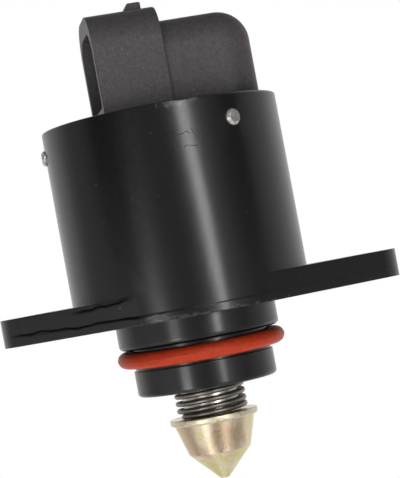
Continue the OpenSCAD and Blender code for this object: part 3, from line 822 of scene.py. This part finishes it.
def wire_spring():
    radius = (spring_high.y - spring_low.y) / 2 - WIRE_D / 2
    section = [2 * math.pi * j / SPRING_SIDES for j in range(SPRING_SIDES)]
    rings = []
    for angle, z in spring_path():
        out = Vector((math.cos(angle), math.sin(angle), 0))
        middle = out * radius + Vector((0, 0, z))
        rings.append([middle + WIRE_D / 2 * (out * math.cos(b) + Vector((0, 0, math.sin(b))))
                      for b in section])
    piece = tube_piece("spring_wire", rings)
    finish_piece(piece, SPRING_WIRE)
    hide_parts("pintle_spring")
    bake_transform(piece)
    print("spring rings:", len(rings))


wire_spring()

# %% [markdown]
# The camera stands where the photograph was taken from: nearly level, a little to the left of
# square-on, and rolled so that the valve leans to the left. A constraint could aim it, but the roll
# would be awkward, so the rotation is worked out from the aim and the roll.

# %% Camera
CAMERA_TARGET = Vector((2.8, -0.4, 11.0)) * MM
CAMERA_DISTANCE = 258 * MM
CAMERA_AZIMUTH = math.radians(-9.0)
CAMERA_ELEVATION = math.radians(-1.23)
CAMERA_ROLL = math.radians(10.5)
CAMERA_LENS = 127.0
CAMERA_SENSOR = 36.0
CAMERA_CLIP = 0.01


def add_camera():
    back = Vector((math.sin(CAMERA_AZIMUTH) * math.cos(CAMERA_ELEVATION),
                   -math.cos(CAMERA_AZIMUTH) * math.cos(CAMERA_ELEVATION),
                   math.sin(CAMERA_ELEVATION)))
    camera = bpy.data.objects.new("camera", bpy.data.cameras.new("camera"))
    camera.data.lens = CAMERA_LENS
    camera.data.sensor_width = CAMERA_SENSOR
    camera.data.clip_start = CAMERA_CLIP
    camera.location = CAMERA_TARGET + back * CAMERA_DISTANCE
    level = (-back).to_track_quat("-Z", "Y").to_matrix()
    camera.rotation_euler = (level @ Matrix.Rotation(-CAMERA_ROLL, 3, "Z")).to_euler()
    bpy.context.scene.collection.objects.link(camera)
    bpy.context.scene.camera = camera
    print("camera at, in mm:", [round(place / MM, 1) for place in camera.location])


add_camera()

# %% [markdown]
# The studio is white behind and beside the valve and dim on the camera's side, with a lit table
# underneath. It could be built from panels and lamps, but a world that is painted by direction is
# quicker to tune, and it can show a different picture to each kind of ray. The camera sees plain
# white. What glossy pieces mirror is a panorama of soft greys: one level above the table's edge, a
# brighter one below it, and a plain grey overhead. Each level is a list of (degrees to the right of
# the camera, brightness). Matte pieces are lit by a glow from the camera's side, strongest from
# below, over a faint even fill.

# %% World
CAMERA_COMPASS = math.radians(-99)
ROOM = [(-180, 0.83), (-133, 0.83), (-120, 0.78), (-110, 0.57), (-100, 0.42), (-84, 0.4),
        (-74, 0.24), (-66, 0.05), (-48, 0.03), (-37, 0.08), (-22, 0.26), (-12, 0.22), (4, 0.22),
        (12, 0.4), (19, 1.0), (27, 1.9), (35, 1.0), (42, 0.65), (52, 0.36), (64, 0.16), (78, 0.1),
        (92, 0.5), (103, 0.6), (124, 0.8), (138, 0.88), (158, 0.82), (180, 0.83)]
TABLE = [(-180, 0.83), (-124, 0.78), (-100, 0.5), (-84, 0.6), (-68, 0.9), (-48, 0.9), (-40, 1.3),
         (-31, 1.6), (-22, 1.0), (-12, 0.5), (0, 0.3), (10, 0.36), (20, 0.8), (30, 1.4), (40, 1.0),
         (52, 0.6), (70, 0.4), (84, 0.5), (103, 0.6), (124, 0.8), (180, 0.83)]
TABLE_EDGE = (0.04, -0.03)
CEILING_EDGE = (0.3, 0.8)
CEILING = (0.3, 0.3, 0.3)
GLOW_FOCUS = 5.0
GLOW_LEVELS = (-0.3, 0.15)
GLOW_STRENGTHS = (5.0, 0.1)
EVEN_FILL = 0.08


def facing(tree, direction, angle):
    """How far a direction points to a compass angle, from -1 to 1."""
    compass = (math.cos(angle), math.sin(angle), 0.0)
    return vector_node(tree, "DOT_PRODUCT", direction, compass).outputs["Value"]


def panorama(tree, place, greys):
    stops = [((degrees + 180) / 360, (grey, grey, grey)) for degrees, grey in greys]
    return ramp_node(tree, place, stops)


def mirrored_studio(tree, ahead, right, height):
    turn = math_node(tree, "ARCTAN2", right, ahead)
    place = map_range(tree, turn, -math.pi, math.pi)
    below = map_range(tree, height, *TABLE_EDGE)
    level = mix_colors(tree, below, panorama(tree, place, ROOM), panorama(tree, place, TABLE))
    return mix_colors(tree, map_range(tree, height, *CEILING_EDGE), level, CEILING)


def matte_light(tree, ahead, height):
    front = math_node(tree, "POWER", math_node(tree, "MAXIMUM", ahead, 0.0), GLOW_FOCUS)
    strength = map_range(tree, height, *GLOW_LEVELS, *GLOW_STRENGTHS)
    return math_node(tree, "ADD", math_node(tree, "MULTIPLY", front, strength), EVEN_FILL)


def studio_world():
    world = bpy.data.worlds.new("studio")
    bpy.context.scene.world = world
    world.use_nodes = True
    tree = world.node_tree
    direction = tree.nodes.new("ShaderNodeTexCoord").outputs["Generated"]
    height = split_vector(tree, direction)["Z"]
    ahead = facing(tree, direction, CAMERA_COMPASS)
    right = facing(tree, direction, CAMERA_COMPASS + math.pi / 2)
    ray = tree.nodes.new("ShaderNodeLightPath").outputs
    white = math_node(tree, "MAXIMUM", ray["Is Camera Ray"], ray["Is Transmission Ray"])
    greys = mirrored_studio(tree, ahead, right, height)
    mirrored = math_node(tree, "MULTIPLY", ray["Is Glossy Ray"], greys)
    other = math_node(tree, "SUBTRACT", 1.0, math_node(tree, "MAXIMUM", white, ray["Is Glossy Ray"]))
    matte = math_node(tree, "MULTIPLY", other, matte_light(tree, ahead, height))
    shown = math_node(tree, "ADD", math_node(tree, "MAXIMUM", white, mirrored), matte)
    background = tree.nodes["Background"]
    background.inputs["Color"].default_value = (1.0, 1.0, 1.0, 1.0)
    tree.links.new(shown, background.inputs["Strength"])
    print("world nodes:", len(tree.nodes))


studio_world()

# %% [markdown]
# Two strip lights give the sharp streaks that the coat mirrors. The world could paint them too, but
# a lamp can lean and has crisp edges. The key is the tall leaning strip that draws the slanted
# streak down the cup. The low one stands just under the table's edge, to the left of the camera, so
# that only the nose, its collar and the pintle mirror it. Both show only in mirrored light, since
# the world lights the matte faces. Angles are compass degrees round the valve, leans are degrees
# sideways, sizes are in metres and powers in watts.

# %% Lights
KEY_STRIP = {"angle": -80.5, "distance": 0.8, "width": 0.11, "height": 0.62, "middle_z": 0.2,
             "power": 1.5, "lean": 36.0}
LOW_STRIP = {"angle": -131.0, "distance": 0.8, "width": 0.2, "height": 0.3, "middle_z": -0.19,
             "power": 0.95, "lean": 0.0}


def strip_light(name, angle, distance, width, height, middle_z, power, lean):
    lamp = bpy.data.lights.new(name, "AREA")
    lamp.shape = "RECTANGLE"
    lamp.size = width
    lamp.size_y = height
    lamp.energy = power
    light = bpy.data.objects.new(name, lamp)
    compass = math.radians(angle)
    light.location = (distance * math.cos(compass), distance * math.sin(compass), middle_z)
    aim = Vector((0, 0, middle_z)) - light.location
    level = aim.to_track_quat("-Z", "Y").to_matrix()
    light.rotation_euler = (level @ Matrix.Rotation(math.radians(lean), 3, "Z")).to_euler()
    light.visible_diffuse = False
    bpy.context.scene.collection.objects.link(light)
    print(name, "at, in metres:", [round(place, 2) for place in light.location])


strip_light("key_strip", **KEY_STRIP)
strip_light("low_strip", **LOW_STRIP)
bpy.context.scene.view_settings.view_transform = "Standard"

# %% [markdown]
# The table is a pale disc well below the pintle, since the valve is held up by its flange when in
# use. A square floor would show its corners in other views, but a disc can fade out evenly towards
# its rim. It glows softly like a light table. It is see-through from below, so that a camera under
# the valve can look up at it, and for mirrored rays, which find the panorama's own table instead.

# %% Table
TABLE_R = 0.45
TABLE_FADE_R = 0.27
TABLE_DROP = 0.12
TABLE_GLOW = 0.6


def lit_acrylic():
    material, tree, shader = new_material("lit_acrylic", (0.85, 0.85, 0.85), 0.8,
                                          Emission_Color=(1.0, 0.99, 0.97, 1.0),
                                          Emission_Strength=TABLE_GLOW)
    middle_distance = vector_node(tree, "LENGTH", object_place(tree)).outputs["Value"]
    fade = map_range(tree, middle_distance, TABLE_FADE_R, TABLE_R)
    below = tree.nodes.new("ShaderNodeNewGeometry").outputs["Backfacing"]
    mirrored = tree.nodes.new("ShaderNodeLightPath").outputs["Is Glossy Ray"]
    clear = tree.nodes.new("ShaderNodeBsdfTransparent")
    switch = tree.nodes.new("ShaderNodeMixShader")
    tree.links.new(combine(tree, "MAXIMUM", [fade, below, mirrored]), switch.inputs["Fac"])
    tree.links.new(shader.outputs["BSDF"], switch.inputs[1])
    tree.links.new(clear.outputs["BSDF"], switch.inputs[2])
    tree.links.new(switch.outputs["Shader"], tree.nodes["Material Output"].inputs["Surface"])
    return material


def light_table():
    build = bmesh.new()
    bmesh.ops.create_circle(build, cap_ends=True, radius=TABLE_R, segments=96)
    piece = built_piece("light_table", build)
    piece.location.z = TIP_Z - TABLE_DROP
    finish_piece(piece, lit_acrylic())
    print("table height in mm:", round(piece.location.z / MM, 1))


light_table()
